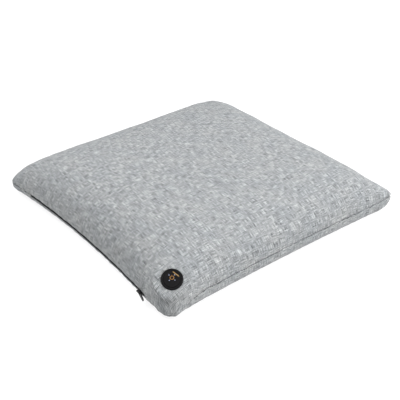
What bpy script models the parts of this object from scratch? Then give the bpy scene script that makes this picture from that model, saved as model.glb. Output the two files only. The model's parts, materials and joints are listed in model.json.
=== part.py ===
"""Battery-heated square kneeling and seat pad with a zipped woven cover.

The pad lies flat on its underside. X runs from the zipped edge (-X) across the pad, Y along
the zip, and Z up. The origin is the middle of the underside. All sizes are in metres.
"""
import math

import bmesh
import bpy
from mathutils import Matrix, Vector

MM = 0.001

# ---- cover shape ----
HALF_X = 0.2005                 # corner-to-corner half width across the zip
HALF_Y = 0.1953                 # half width along the zip
PULL_X = 0.0093                 # how far the edge opposite the zip bows inwards
PULL_Y = 0.0045                 # how far the two other edges bow inwards
CROWN = 0.0695                  # height of the stuffed crown
CROWN_POWER_X = 5.9
CROWN_POWER_Y = 3.92
CROWN_ROOT = 1 / 2.076
BASE_POWER_X = 22.3
BASE_POWER_Y = 50.0
BASE_ROOT = 1 / 2.23
CORNER_CUT = 0.0173             # corner rounding, as a share of the half widths
NEAR_CORNER_CUT = 0.0455        # the corner with the controller is rounder
CORNER_START = 0.78             # where the corners begin, as a share of the half widths
SEAM_ZIP = 0.01726              # height of the seam at the middle of the zipped edge
ZIP_SLOPE = 0.0143              # rise of the zip per length towards the far corner
SEAM_OPPOSITE = 0.0196          # height of the seam on the edge opposite the zip
SEAM_SIDE = 0.0204              # height of the seam along the two other edges
SEAM_CORNER = 0.0175
SEAM_CORNER_RIGHT = 0.0236
SEAM_CORNER_NEAR = 0.0062
EAR_NEAR = (-0.0033, 0.0042)    # the corners stick out by these amounts along X and Y
EAR_RIGHT = (0.0029, 0.0018)
EAR_LEFT = (-0.0012, -0.0012)
EAR_FAR = (0.0, 0.0)
FLAT_SNAP = 0.4 * MM            # the underside is dead flat wherever it dips below this
# stitched lines the soft layers share, so that nested layers stay parallel
LINES = (-1, -0.98, -0.95, -0.91, -0.87, -0.83, -0.77, -0.72, -0.6, -0.45, -0.3, -0.15, 0,
         0.17, 0.34, 0.53, 0.72, 0.79, 0.85, 0.92, 0.97, 1)
MAT_EDGE = 0.72                 # the heating mat ends on this line

# ---- layer depths below the outer cloth ----
CLOTH = 1.2 * MM
SEAM_GAP = 0.15 * MM
WADDING = (1.5 * MM, 4.5 * MM)
FELT_UPPER = (4.8 * MM, 5.5 * MM)
WIRE_DEPTH = 6.5 * MM
FELT_LOWER = (7.5 * MM, 8.2 * MM)
FOIL = (8.5 * MM, 8.8 * MM)
FOAM_DEPTH = 4.8 * MM
FOAM_RECESS = 9.1 * MM
FOAM_FLOOR = 1.5 * MM
FOAM_RIM = 1.8 * MM
SLAB_JOINT = (27.7 * MM, 28.0 * MM)

# ---- heating wire ----
WIRE_RADIUS = 0.65 * MM
WIRE_ROWS = 10
WIRE_ROW_SPAN = 0.6
WIRE_NEAR_TURN = -0.55
WIRE_FAR_TURN = 0.61
WIRE_RETURN = -0.67
TURN_BULGE = 0.066

# ---- zip ----
ZIP_RADIUS = 1.6154             # the zipped edge bows inwards on this radius
ZIP_PULL = 10.5 * MM            # as far as this
ZIP_APEX_Y = 13.4 * MM          # at this place along the pad
ZIP_MIDDLE_Y = -5.5 * MM        # place of the zip's own middle along the pad
ZIP_CENTRE = (-(HALF_X - ZIP_PULL) - ZIP_RADIUS, ZIP_APEX_Y, SEAM_ZIP + ZIP_SLOPE * ZIP_APEX_Y)
SLOT_END = 0.75                 # half length of the open slot, as a share of the half width
SLOT_FADE = 0.045
ZIP_OPENING = 2.4 * MM          # half the slot between the cover's two rims
TAPE_END = 0.1425
COIL_END = 0.1388
STOP_LENGTH = 2.8 * MM
COIL_PITCH = 5.5 * MM
COIL_WIDTH = (0.6 * MM, 2.1 * MM)
COIL_BACK = -1.3 * MM
COIL_PEAK = 0.3 * MM
COIL_VALLEY = 0.0
TAPE_OUTER = ((-1.6 * MM, 0.7 * MM), (-1.6 * MM, 2.5 * MM), (-3.7 * MM, 6.5 * MM))
TAPE_THICK = 0.6 * MM
TAPE_STATIONS = 25
SLIDER_REST = -0.134            # place of the closed slider along the zip
SLIDER_LENGTH = 9.0 * MM
SLIDER_OUTER = (0.65 * MM, 1.6 * MM)
SLIDER_INNER = (-3.9 * MM, -3.0 * MM)
SLIDER_WIDTH = 3.4 * MM
SLIDER_POST = 0.3 * MM
ARCH_INNER = 2.4 * MM
ARCH_OUTER = 3.4 * MM
ARCH_ROOF = (3.1 * MM, 3.9 * MM)
ARCH_WIDTH = 0.7 * MM
PULL_PIVOT = 2.35 * MM
PULL_BAR = 0.4 * MM
PULL_THICK = 0.45 * MM
PULL_LENGTH = 14.5 * MM
PULL_BODY_START = 4.2 * MM
PULL_LEAN = math.radians(6)     # the closed pull stands off the cover
PULL_DROOP = math.radians(14)   # and hangs a little below the zip

# ---- controller in the near corner ----
CONTROL_U = -0.867
CONTROL_V = -0.897
CONTROL_NORMAL = Vector((-0.290, -0.425, 0.857)).normalized()
FLAT_RADIUS = 22 * MM           # the cloth is drawn flat under the controller
FADE_RADIUS = 32 * MM
BEZEL_RADIUS = 13.7 * MM
COVER_HOLE = 13.0 * MM
NECK_RADIUS = 12.7 * MM
SKIRT_BORE = 12.0 * MM
CAP_BORE = 11.3 * MM
CAP_RADIUS = 11.0 * MM
CAP_SKIRT = 11.7 * MM
CAP_TOP = 1.75 * MM
BEZEL_TOP = 1.9 * MM
SHELL_FLANGE = 16.0 * MM
SHELL_RADIUS = 14.2 * MM
SHELL_BORE = 13.0 * MM
SHELL_DEPTH = 12.2 * MM
POCKET_RADIUS = 16.8 * MM
RELIEF_RADIUS = 27.5 * MM        # the firm foam stands clear of the pulled-down cover here
ICON_OFFSET = 1.7 * MM          # the power mark sits a little above the cap's middle
ICON_RING = (1.95 * MM, 2.65 * MM)
ICON_GAP = math.radians(35)
LEVEL_RING = 4.7 * MM
LEVEL_POST = 0.55 * MM
ROUND = 36

# ---- battery ----
BATTERY_X = (-178.5 * MM, -112.5 * MM)
BATTERY_Y = (-81.0 * MM, 31.0 * MM)
BATTERY_Z = (8.2 * MM, 21.4 * MM)
CASE_SPLIT = 14.8 * MM
CASE_WALL = 1.6 * MM
SLEEVE_WALL = 0.8 * MM
GAP = 0.4 * MM
PLUG_X = -145.5 * MM
PLUG_Z = 16.2 * MM
LEAD_RADIUS = 1.3 * MM
LEAD_CHANNEL = 2.2 * MM
HEATER_LEAD_RADIUS = 1.1 * MM


def smooth(t):
    """Ease from 0 to 1 as t passes from 0 to 1."""
    t = min(1.0, max(0.0, t))
    return t * t * (3 - 2 * t)


def corner_share(u, v):
    """0 along the edges and the middle, 1 at the very corners."""
    return smooth((abs(u * v) - CORNER_START) / (1 - CORNER_START))


def bow(u, v):
    """How far the edge on this side of the pad is pulled in."""
    if u < 0:
        return ZIP_PULL - (v * HALF_Y - ZIP_APEX_Y) ** 2 / (2 * ZIP_RADIUS)
    return PULL_X * (1 - v * v)


def plan_point(u, v, inset):
    """Place in plan of a point given as shares of the two half widths."""
    if v < 0:
        ear = EAR_NEAR if u < 0 else EAR_RIGHT
    else:
        ear = EAR_LEFT if u < 0 else EAR_FAR
    share = corner_share(u, v)
    rounding = NEAR_CORNER_CUT if u < 0 and v < 0 else CORNER_CUT
    cut = 1 - rounding * abs(u * v) ** 20
    x = u * (HALF_X - inset - bow(u, v)) * cut
    y = v * (HALF_Y - inset - PULL_Y * (1 - u * u)) * cut
    return x + math.copysign(share, u) * ear[0], y + math.copysign(share, v) * ear[1]


def seam_height(u, v):
    """Height of the seam that the cover's two panels meet at."""
    side = smooth((abs(u) - abs(v)) / (1 - CORNER_START))
    level = SEAM_ZIP + ZIP_SLOPE * v * HALF_Y if u < 0 else SEAM_OPPOSITE
    edge = SEAM_SIDE + (level - SEAM_SIDE) * side
    corner = SEAM_CORNER
    if v < 0:
        corner = SEAM_CORNER_NEAR if u < 0 else SEAM_CORNER_RIGHT
    return edge + (corner - edge) * corner_share(u, v)


def rim_gap(u, v, least):
    """Half the gap between the upper and lower rims: wide along the zip only."""
    along = 1 - smooth((abs(v - ZIP_MIDDLE_Y / HALF_Y) - SLOT_END) / SLOT_FADE)
    across = smooth((-u - 0.6) / 0.3)
    return max(least, ZIP_OPENING * along * across)


def top_point(u, v, depth):
    """Point of the stuffed top, at a depth below the outer cloth."""
    x, y = plan_point(u, v, depth)
    base = seam_height(u, v) + rim_gap(u, v, SEAM_GAP)
    bulge = (1 - abs(u) ** CROWN_POWER_X) * (1 - abs(v) ** CROWN_POWER_Y)
    point = Vector((x, y, base + (CROWN - depth - base) * max(0.0, bulge) ** CROWN_ROOT))
    return drawn_flat(point, depth)


def drawn_flat(point, depth):
    """Draw a point of the top into the controller's plane when it lies beside it."""
    if CONTROL_PLACE is None:
        return point
    offset = point - CONTROL_PLACE
    height = offset.dot(CONTROL_NORMAL)
    reach = (offset - CONTROL_NORMAL * height).length
    share = 1 - smooth((reach - FLAT_RADIUS) / (FADE_RADIUS - FLAT_RADIUS))
    return point - CONTROL_NORMAL * (height + depth) * share


def base_point(u, v, inset, floor, rim=SEAM_GAP):
    """Point of the underside of a layer whose lowest height is the floor."""
    x, y = plan_point(u, v, inset)
    base = seam_height(u, v) - rim_gap(u, v, rim)
    bulge = (1 - abs(u) ** BASE_POWER_X) * (1 - abs(v) ** BASE_POWER_Y)
    rise = (base - floor) * (1 - max(0.0, bulge) ** BASE_ROOT)
    return Vector((x, y, floor + (rise if rise > FLAT_SNAP else 0.0)))


CONTROL_PLACE = None
CONTROL_PLACE = top_point(CONTROL_U, CONTROL_V, 0.0)


def control_matrix():
    """The controller's own frame: Z out of the cap, Y up the slope of the pad."""
    normal = CONTROL_NORMAL
    uphill = (Vector((0, 0, 1)) - normal * normal.z).normalized()
    across = uphill.cross(normal)
    matrix = Matrix((across, uphill, normal)).transposed().to_4x4()
    matrix.translation = CONTROL_PLACE
    return matrix


def zip_matrix(along):
    """Frame at a place on the zip: X into the pad, Y along the zip, Z up."""
    lean = Matrix.Rotation(math.asin(ZIP_SLOPE), 4, "X")
    turn = Matrix.Rotation((along + ZIP_MIDDLE_Y - ZIP_APEX_Y) / ZIP_RADIUS, 4, "Z")
    return Matrix.Translation(ZIP_CENTRE) @ lean @ turn @ Matrix.Translation((ZIP_RADIUS, 0, 0))


def zip_point(along, outward, up):
    """Point beside the zip."""
    return zip_matrix(along) @ Vector((-outward, 0, up))


def clear_scene():
    """Start from an empty scene."""
    for item in list(bpy.data.objects):
        bpy.data.objects.remove(item, do_unlink=True)
    for mesh in list(bpy.data.meshes):
        bpy.data.meshes.remove(mesh)


def material(name, color, roughness, metallic=0.0):
    """A plain surface for one sub-part."""
    surface = bpy.data.materials.new(name)
    surface.use_nodes = True
    shader = surface.node_tree.nodes["Principled BSDF"]
    shader.inputs["Base Color"].default_value = (*color, 1.0)
    shader.inputs["Roughness"].default_value = roughness
    shader.inputs["Metallic"].default_value = metallic
    surface.diffuse_color = (*color, 1.0)
    return surface


def make(name, verts, faces, matrix=None):
    """A mesh object with outward faces."""
    mesh = bpy.data.meshes.new(name)
    mesh.from_pydata([tuple(v) for v in verts], [], faces)
    if matrix is not None:
        mesh.transform(matrix)
    bm = bmesh.new()
    bm.from_mesh(mesh)
    bmesh.ops.recalc_face_normals(bm, faces=bm.faces)
    bm.to_mesh(mesh)
    bm.free()
    item = bpy.data.objects.new(name, mesh)
    bpy.context.scene.collection.objects.link(item)
    return item


def finish(item, surface, round_piece=False, origin=None):
    """Give a sub-part its surface, its shading and its origin."""
    item.data.materials.clear()
    item.data.materials.append(surface)
    for face in item.data.polygons:
        face.use_smooth = round_piece
    if round_piece:
        item.data.set_sharp_from_angle(angle=math.radians(35))
    if origin is not None:
        item.data.transform(Matrix.Translation(-Vector(origin)))
        item.location = origin
    return item


def box(name, low, high, matrix=None):
    """A block between two opposite corners."""
    verts = [(x, y, z) for x in (low[0], high[0]) for y in (low[1], high[1])
             for z in (low[2], high[2])]
    faces = [(0, 1, 3, 2), (4, 6, 7, 5), (0, 4, 5, 1), (2, 3, 7, 6), (0, 2, 6, 4), (1, 5, 7, 3)]
    return make(name, verts, faces, matrix)


def lathe(name, profile, matrix=None, segments=ROUND):
    """A round piece: a closed outline of (radius, height) turned about Z."""
    verts = []
    rings = []
    for radius, height in profile:
        if radius == 0:
            rings.append([len(verts)] * segments)
            verts.append((0, 0, height))
            continue
        rings.append(list(range(len(verts), len(verts) + segments)))
        for k in range(segments):
            angle = 2 * math.pi * k / segments
            verts.append((radius * math.cos(angle), radius * math.sin(angle), height))
    faces = []
    for first, second in zip(rings, rings[1:] + rings[:1]):
        for k in range(segments):
            m = (k + 1) % segments
            corners = list(dict.fromkeys((first[k], first[m], second[m], second[k])))
            if len(corners) > 2:
                faces.append(corners)
    return make(name, verts, faces, matrix)


def prism(name, outline, low, high, matrix=None):
    """A flat outline of (x, y) points given a thickness along Z."""
    count = len(outline)
    verts = [(x, y, z) for z in (low, high) for x, y in outline]
    faces = [tuple(range(count)), tuple(range(2 * count - 1, count - 1, -1))]
    for k in range(count):
        m = (k + 1) % count
        faces.append((k, m, m + count, k + count))
    return make(name, verts, faces, matrix)


def tube(name, path, radius, sides=8):
    """A round cord along a path of points."""
    points = [Vector(p) for p in path]
    verts = []
    side = Vector((0, 0, 1))
    for k, point in enumerate(points):
        ahead = points[min(k + 1, len(points) - 1)] - points[max(k - 1, 0)]
        ahead.normalize()
        side = side - ahead * side.dot(ahead)
        if side.length < 0.1:
            side = ahead.orthogonal()
        side.normalize()
        other = ahead.cross(side)
        for m in range(sides):
            angle = 2 * math.pi * (m + 0.5) / sides
            verts.append(point + (side * math.cos(angle) + other * math.sin(angle)) * radius)
    faces = [tuple(range(sides)), tuple(range(len(verts) - sides, len(verts)))]
    for k in range(len(points) - 1):
        for m in range(sides):
            n = (m + 1) % sides
            row = k * sides
            faces.append((row + m, row + n, row + sides + n, row + sides + m))
    return make(name, verts, faces)


def rounded(points, steps=4):
    """A smooth path through a few points."""
    points = [Vector(p) for p in points]
    ends = [points[0] * 2 - points[1]] + points + [points[-1] * 2 - points[-2]]
    path = []
    for k in range(1, len(ends) - 2):
        a, b, c, d = ends[k - 1:k + 3]
        for m in range(steps):
            t = m / steps
            path.append((b * 2 + (c - a) * t + (a * 2 - b * 5 + c * 4 - d) * t ** 2
                         + (b * 3 - a - c * 3 + d) * t ** 3) * 0.5)
    path.append(points[-1])
    return path


def sweep(name, stations):
    """A long piece whose outline is given at each station along it."""
    count = len(stations[0])
    verts = [p for outline in stations for p in outline]
    faces = [tuple(range(count)), tuple(range(len(verts) - count, len(verts)))]
    for k in range(len(stations) - 1):
        for m in range(count):
            n = (m + 1) % count
            row = k * count
            faces.append((row + m, row + n, row + count + n, row + count + m))
    return make(name, verts, faces)


def layer(name, lines, upper, lower):
    """A soft layer between two surfaces over the same stitched lines."""
    count = len(lines)
    verts = [surface(u, v) for surface in (upper, lower) for u in lines for v in lines]
    half = count * count
    faces = []
    for start in (0, half):
        for i in range(count - 1):
            for j in range(count - 1):
                a = start + i * count + j
                b = a + count
                faces.append((a, b, b + 1))
                faces.append((a, b + 1, a + 1))
    border = [i * count for i in range(count)]
    border += [(count - 1) * count + j for j in range(1, count)]
    border += [i * count + count - 1 for i in range(count - 2, -1, -1)]
    border += list(range(count - 2, 0, -1))
    for a, b in zip(border, border[1:] + border[:1]):
        faces.append((a, b, b + half))
        faces.append((a, b + half, a + half))
    return make(name, verts, faces)


def combine(item, others, operation):
    """Cut other pieces from a piece, or join them to it, and use them up."""
    for other in others:
        other.hide_render = True
        other.display_type = "WIRE"
        change = item.modifiers.new("shape", "BOOLEAN")
        change.operation = operation
        change.solver = "EXACT"
        change.object = other
        bpy.context.view_layer.update()
        solid = item.evaluated_get(bpy.context.evaluated_depsgraph_get())
        mesh = bpy.data.meshes.new_from_object(solid)
        item.modifiers.clear()
        old = item.data
        item.data = mesh
        bpy.data.meshes.remove(old)
        bpy.data.objects.remove(other, do_unlink=True)
    return item


def cut(item, *others):
    """Cut pieces out of a piece."""
    return combine(item, others, "DIFFERENCE")


def join(item, *others):
    """Join pieces to a piece."""
    return combine(item, others, "UNION")


def slice_at(item, height, keep_above):
    """Keep the part of a piece above or below a level and close the cut."""
    bm = bmesh.new()
    bm.from_mesh(item.data)
    found = bmesh.ops.bisect_plane(
        bm, geom=bm.verts[:] + bm.edges[:] + bm.faces[:], plane_co=(0, 0, height),
        plane_no=(0, 0, 1), clear_inner=keep_above, clear_outer=not keep_above)
    edges = [e for e in found["geom_cut"] if isinstance(e, bmesh.types.BMEdge)]
    bmesh.ops.edgeloop_fill(bm, edges=edges)
    bmesh.ops.recalc_face_normals(bm, faces=bm.faces)
    bm.to_mesh(item.data)
    bm.free()
    return item


def facet_point(u, v, depth):
    """Point on the flat facets of a soft layer's surface."""
    i = max(k for k in range(len(LINES) - 1) if LINES[k] <= u)
    j = max(k for k in range(len(LINES) - 1) if LINES[k] <= v)
    s = (u - LINES[i]) / (LINES[i + 1] - LINES[i])
    t = (v - LINES[j]) / (LINES[j + 1] - LINES[j])
    low = top_point(LINES[i], LINES[j], depth)
    high = top_point(LINES[i + 1], LINES[j + 1], depth)
    if s >= t:
        side = top_point(LINES[i + 1], LINES[j], depth)
        return low + (side - low) * s + (high - side) * t
    side = top_point(LINES[i], LINES[j + 1], depth)
    return low + (side - low) * t + (high - side) * s


# ---- cover ----

def control_cylinder(radius, low, high):
    """A round cutter on the controller's axis."""
    profile = ((0, low), (radius, low), (radius, high), (0, high))
    return lathe("cutter", profile, control_matrix())


def cover_top_panel():
    """Woven upper panel with the hole that the controller is clamped in."""
    item = layer("cover_top_panel", LINES, lambda u, v: top_point(u, v, 0.0),
                 lambda u, v: top_point(u, v, CLOTH))
    cut(item, control_cylinder(COVER_HOLE, -6 * MM, 6 * MM))
    finish(item, material("woven_grey_top", (0.42, 0.42, 0.41), 0.95))


def cover_bottom_panel():
    """Woven lower panel that the pad rests on."""
    item = layer("cover_bottom_panel", LINES, lambda u, v: base_point(u, v, CLOTH, CLOTH),
                 lambda u, v: base_point(u, v, 0.0, 0.0))
    finish(item, material("woven_grey_bottom", (0.40, 0.40, 0.40), 0.95))


# ---- soft inside ----

def wadding_layer():
    """Soft polyester wadding between the cloth and the heating mat."""
    item = layer("wadding_layer", LINES[1:-1], lambda u, v: top_point(u, v, WADDING[0]),
                 lambda u, v: top_point(u, v, WADDING[1]))
    cut(item, control_cylinder(POCKET_RADIUS, -10 * MM, 8 * MM))
    finish(item, material("white_wadding", (0.85, 0.85, 0.84), 1.0))


def mat_layer(name, depths, surface):
    """One flat sheet of the heating mat."""
    lines = [line for line in LINES if abs(line) <= MAT_EDGE]
    item = layer(name, lines, lambda u, v: top_point(u, v, depths[0]),
                 lambda u, v: top_point(u, v, depths[1]))
    finish(item, surface)


def foam_top(u, v):
    """Top of the foam, sunk under the heating mat."""
    sunk = max(abs(u), abs(v)) <= MAT_EDGE
    return top_point(u, v, FOAM_RECESS if sunk else FOAM_DEPTH)


def foam_core(name):
    """The whole foam block before it is cut into two slabs."""
    return layer(name, LINES, foam_top,
                 lambda u, v: base_point(u, v, FOAM_DEPTH, FOAM_FLOOR, FOAM_RIM))


def joint_frame():
    """Frame of the heater joint: X from the mat's corner to the controller."""
    place = top_point(-0.765, -0.775, 10.2 * MM)
    toward = CONTROL_PLACE - place
    turn = Matrix.Rotation(math.atan2(toward.y, toward.x), 4, "Z")
    return Matrix.Translation(place) @ turn


def thermostat_place():
    """Middle of the thermostat, under the mat in the middle of the pad."""
    return Vector((16 * MM, 14 * MM, CROWN - FOAM_RECESS - 2 * MM))


def battery_lead_path():
    """The lead from the battery's plug up into the controller."""
    frame = control_matrix()
    points = [(PLUG_X, -100.2 * MM, PLUG_Z), (PLUG_X, -114 * MM, PLUG_Z),
              (-149 * MM, -132 * MM, 15.5 * MM), (-159 * MM, -150 * MM, 18 * MM),
              frame @ Vector((0, 0, -21 * MM)), frame @ Vector((0, 0, -14 * MM)),
              frame @ Vector((0, 0, -9.2 * MM))]
    return rounded(points)


def heater_lead_path():
    """The lead from the heater joint into the side of the controller."""
    frame = joint_frame()
    control = control_matrix()
    points = [frame @ Vector((7.9 * MM, 0, 0)), frame @ Vector((10.5 * MM, 0, 0)),
              control @ Vector((0, 19.5 * MM, -6.4 * MM)),
              control @ Vector((0, 12.4 * MM, -5.9 * MM))]
    return rounded(points)


def comfort_foam_slab():
    """Soft upper slab, with pockets for the heater's fittings and the controller."""
    item = slice_at(foam_core("comfort_foam_slab"), SLAB_JOINT[1], True)
    spot = thermostat_place()
    cut(item, control_cylinder(POCKET_RADIUS, -13.2 * MM, 12 * MM),
        box("cutter", (-20 * MM, -5.2 * MM, -2.2 * MM), (8.2 * MM, 5.2 * MM, 15 * MM),
            joint_frame()),
        box("cutter", spot - Vector((7.5, 3.5, 2.2)) * MM, spot + Vector((7.5, 3.5, 6)) * MM),
        tube("cutter", heater_lead_path(), LEAD_CHANNEL),
        tube("cutter", battery_lead_path(), LEAD_CHANNEL))
    finish(item, material("soft_foam", (0.88, 0.82, 0.62), 1.0))


def base_foam_slab():
    """Firm lower slab with the battery's pocket, open towards the zip."""
    item = slice_at(foam_core("base_foam_slab"), SLAB_JOINT[0], False)
    low, high = sleeve_corners()
    room = Vector((GAP, GAP, GAP))
    cut(item, control_cylinder(POCKET_RADIUS, -13.2 * MM, 12 * MM),
        control_cylinder(RELIEF_RADIUS, -11 * MM, 12 * MM),
        box("cutter", low - room - Vector((30 * MM, 0, 0)), high + room),
        box("cutter", (PLUG_X - 9 * MM, -104 * MM, PLUG_Z - 5.5 * MM),
            (PLUG_X + 9 * MM, BATTERY_Y[0], PLUG_Z + 5.5 * MM)),
        tube("cutter", battery_lead_path(), LEAD_CHANNEL))
    finish(item, material("firm_foam", (0.30, 0.31, 0.33), 1.0))


# ---- heating mat ----

def wire_route():
    """The heating wire's route, as shares of the half widths."""
    route = [(-0.66, -0.69), (-0.63, -0.64)]
    spacing = 2 * WIRE_ROW_SPAN / (WIRE_ROWS - 1)
    inner = [line for line in LINES if WIRE_NEAR_TURN < line < WIRE_FAR_TURN]
    for row in range(WIRE_ROWS):
        v = -WIRE_ROW_SPAN + row * spacing
        run = [WIRE_NEAR_TURN] + inner + [WIRE_FAR_TURN]
        out = 1
        if row % 2:
            run.reverse()
            out = -1
        route += [(u, v) for u in run]
        if row < WIRE_ROWS - 1:
            for step in (0.25, 0.5, 0.75):
                bulge = TURN_BULGE * math.sin(math.pi * step)
                rise = spacing * (1 - math.cos(math.pi * step)) / 2
                route.append((run[-1] + out * bulge, v + rise))
    route.append((WIRE_RETURN, WIRE_ROW_SPAN - 0.04))
    back = [line for line in LINES if abs(line) < WIRE_ROW_SPAN - 0.06]
    route += [(WIRE_RETURN, v) for v in reversed(back)]
    return route + [(WIRE_RETURN, -0.6), (-0.69, -0.66)]


def heater_wire():
    """The heating wire, both ends brought to the joint in the near corner."""
    frame = joint_frame()
    start = [frame @ Vector((-8.4 * MM, 2 * MM, 0)), facet_point(-0.71, -0.737, WIRE_DEPTH)]
    end = [facet_point(-0.737, -0.71, WIRE_DEPTH), frame @ Vector((-8.4 * MM, -2 * MM, 0))]
    middle = [facet_point(u, v, WIRE_DEPTH) for u, v in wire_route()]
    item = tube("heater_wire", start + middle + end, WIRE_RADIUS, 4)
    finish(item, material("silicone_wire", (0.62, 0.05, 0.04), 0.6))


def heater_joint():
    """Moulded joint between the heating wire and its lead."""
    item = box("heater_joint", (-7.5 * MM, -4.5 * MM, -1.5 * MM), (7.5 * MM, 4.5 * MM, 1.5 * MM),
               joint_frame())
    finish(item, material("black_splice", (0.03, 0.03, 0.03), 0.6))


def heater_lead():
    """Two-core lead from the joint into the controller."""
    item = tube("heater_lead", heater_lead_path(), HEATER_LEAD_RADIUS)
    finish(item, material("black_lead", (0.02, 0.02, 0.02), 0.5), True)


def heater_thermostat():
    """Cut-out that stops the mat overheating."""
    spot = thermostat_place()
    half = Vector((7.0, 3.0, 1.7)) * MM
    item = box("heater_thermostat", spot - half, spot + half)
    finish(item, material("thermostat_shell", (0.75, 0.74, 0.70), 0.5))


# ---- battery ----

def sleeve_corners():
    """Opposite corners of the battery's sleeve."""
    room = Vector((1, 1, 1)) * (SLEEVE_WALL + GAP)
    low = Vector((BATTERY_X[0], BATTERY_Y[0], BATTERY_Z[0])) - room
    high = Vector((BATTERY_X[1], BATTERY_Y[1], BATTERY_Z[1])) + room
    return low, high


def battery_sleeve():
    """Cloth sleeve round the battery, open towards the zip."""
    low, high = sleeve_corners()
    wall = Vector((1, 1, 1)) * SLEEVE_WALL
    item = box("battery_sleeve", low, high)
    cut(item, box("cutter", low + wall - Vector((9 * MM, 0, 0)), high - wall),
        box("cutter", (PLUG_X - 8.6 * MM, -90 * MM, PLUG_Z - 4.6 * MM),
            (PLUG_X + 8.6 * MM, BATTERY_Y[0], PLUG_Z + 4.6 * MM)))
    finish(item, material("black_sleeve", (0.05, 0.05, 0.055), 0.9))


def battery_case(name, low_z, high_z, hollow_low, hollow_high):
    """One half of the battery's moulded case, with its half of the socket's slot."""
    low = (BATTERY_X[0], BATTERY_Y[0], low_z)
    high = (BATTERY_X[1], BATTERY_Y[1], high_z)
    item = box(name, low, high)
    cut(item, box("cutter", (low[0] + CASE_WALL, low[1] + CASE_WALL, hollow_low),
                  (high[0] - CASE_WALL, high[1] - CASE_WALL, hollow_high)),
        box("cutter", (PLUG_X - 7 * MM, low[1] - MM, PLUG_Z - 3.1 * MM),
            (PLUG_X + 7 * MM, low[1] + 3 * MM, PLUG_Z + 3.1 * MM)))
    finish(item, material(name + "_plastic", (0.04, 0.04, 0.045), 0.5))


def battery_cells():
    """Two flat lithium cells side by side."""
    surface = material("cell_wrap", (0.10, 0.25, 0.55), 0.4)
    for name, middle in (("battery_cell_inner", -130.6 * MM), ("battery_cell_outer", -160.4 * MM)):
        item = box(name, (middle - 14.4 * MM, -57 * MM, BATTERY_Z[0] + CASE_WALL + GAP),
                   (middle + 14.4 * MM, 29 * MM, BATTERY_Z[1] - CASE_WALL - GAP))
        finish(item, surface)


def battery_circuit_board():
    """Charging board beside the cells."""
    item = box("battery_circuit_board", (-174 * MM, -78 * MM, 11.4 * MM),
               (-117 * MM, -58 * MM, 12.8 * MM))
    finish(item, material("green_board", (0.03, 0.25, 0.09), 0.5))


def battery_output_socket():
    """Metal socket that the lead's plug goes into."""
    item = box("battery_output_socket", (PLUG_X - 6.7 * MM, -80.6 * MM, PLUG_Z - 2.8 * MM),
               (PLUG_X + 6.7 * MM, -66 * MM, PLUG_Z + 2.8 * MM))
    cut(item, box("cutter", (PLUG_X - 6.2 * MM, -82 * MM, PLUG_Z - 2.4 * MM),
                  (PLUG_X + 6.2 * MM, -67 * MM, PLUG_Z + 2.4 * MM)))
    finish(item, material("socket_steel", (0.7, 0.7, 0.72), 0.3, 1.0))


def power_plug():
    """Plug of the battery lead, seated in the socket."""
    item = box("power_plug", (PLUG_X - 8 * MM, -99.8 * MM, PLUG_Z - 4 * MM),
               (PLUG_X + 8 * MM, -81.4 * MM, PLUG_Z + 4 * MM))
    join(item, box("part", (PLUG_X - 5.9 * MM, -82 * MM, PLUG_Z - 2.1 * MM),
                   (PLUG_X + 5.9 * MM, -69.5 * MM, PLUG_Z + 2.1 * MM)))
    finish(item, material("plug_plastic", (0.03, 0.03, 0.03), 0.5))


def battery_lead():
    """Lead from the plug to the controller."""
    item = tube("battery_lead", battery_lead_path(), LEAD_RADIUS)
    finish(item, material("battery_lead_sheath", (0.02, 0.02, 0.02), 0.5), True)


# ---- controller ----

def control_bezel():
    """Fixed ring round the cap, clamped through the cover."""
    lip = -1.4 * MM
    profile = ((CAP_BORE, lip), (CAP_BORE, BEZEL_TOP - 0.3 * MM), (CAP_BORE + 0.3 * MM, BEZEL_TOP),
               (BEZEL_RADIUS - 1.0 * MM, BEZEL_TOP), (BEZEL_RADIUS - 0.3 * MM, 1.5 * MM),
               (BEZEL_RADIUS, 0.8 * MM), (BEZEL_RADIUS, 0.3 * MM), (NECK_RADIUS, 0.3 * MM),
               (NECK_RADIUS, -3.2 * MM), (SKIRT_BORE, -3.2 * MM), (SKIRT_BORE, lip))
    item = lathe("control_bezel", profile, control_matrix())
    finish(item, material("bezel_plastic", (0.012, 0.012, 0.013), 0.45), True)


def power_mark(name, low, high, grow):
    """The power sign's ring and bar standing on a plate, or their clearance cutter."""
    steps = 14
    first = math.pi / 2 + ICON_GAP - grow / ICON_RING[1]
    last = math.pi / 2 + 2 * math.pi - ICON_GAP + grow / ICON_RING[1]
    angles = [first + (last - first) * k / steps for k in range(steps + 1)]
    outer, inner = ICON_RING[1] + grow, ICON_RING[0] - grow
    outline = [(outer * math.cos(a), outer * math.sin(a)) for a in angles]
    outline += [(inner * math.cos(a), inner * math.sin(a)) for a in reversed(angles)]
    shift = control_matrix() @ Matrix.Translation((0, ICON_OFFSET, 0))
    item = prism(name, outline, low, high, shift)
    half = 0.35 * MM + grow
    bar = box("part", (-half, 1.0 * MM - grow, low), (half, 3.2 * MM + grow, high), shift)
    return item, bar


def level_posts(low, high, radius):
    """Four round posts on the diagonals round the power sign."""
    posts = []
    for quarter in range(4):
        angle = math.pi / 4 + quarter * math.pi / 2
        place = Matrix.Translation((LEVEL_RING * math.cos(angle),
                                    LEVEL_RING * math.sin(angle) + ICON_OFFSET, 0))
        profile = ((0, low), (radius, low), (radius, high), (0, high))
        posts.append(lathe("part", profile, control_matrix() @ place, 12))
    return posts


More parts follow.
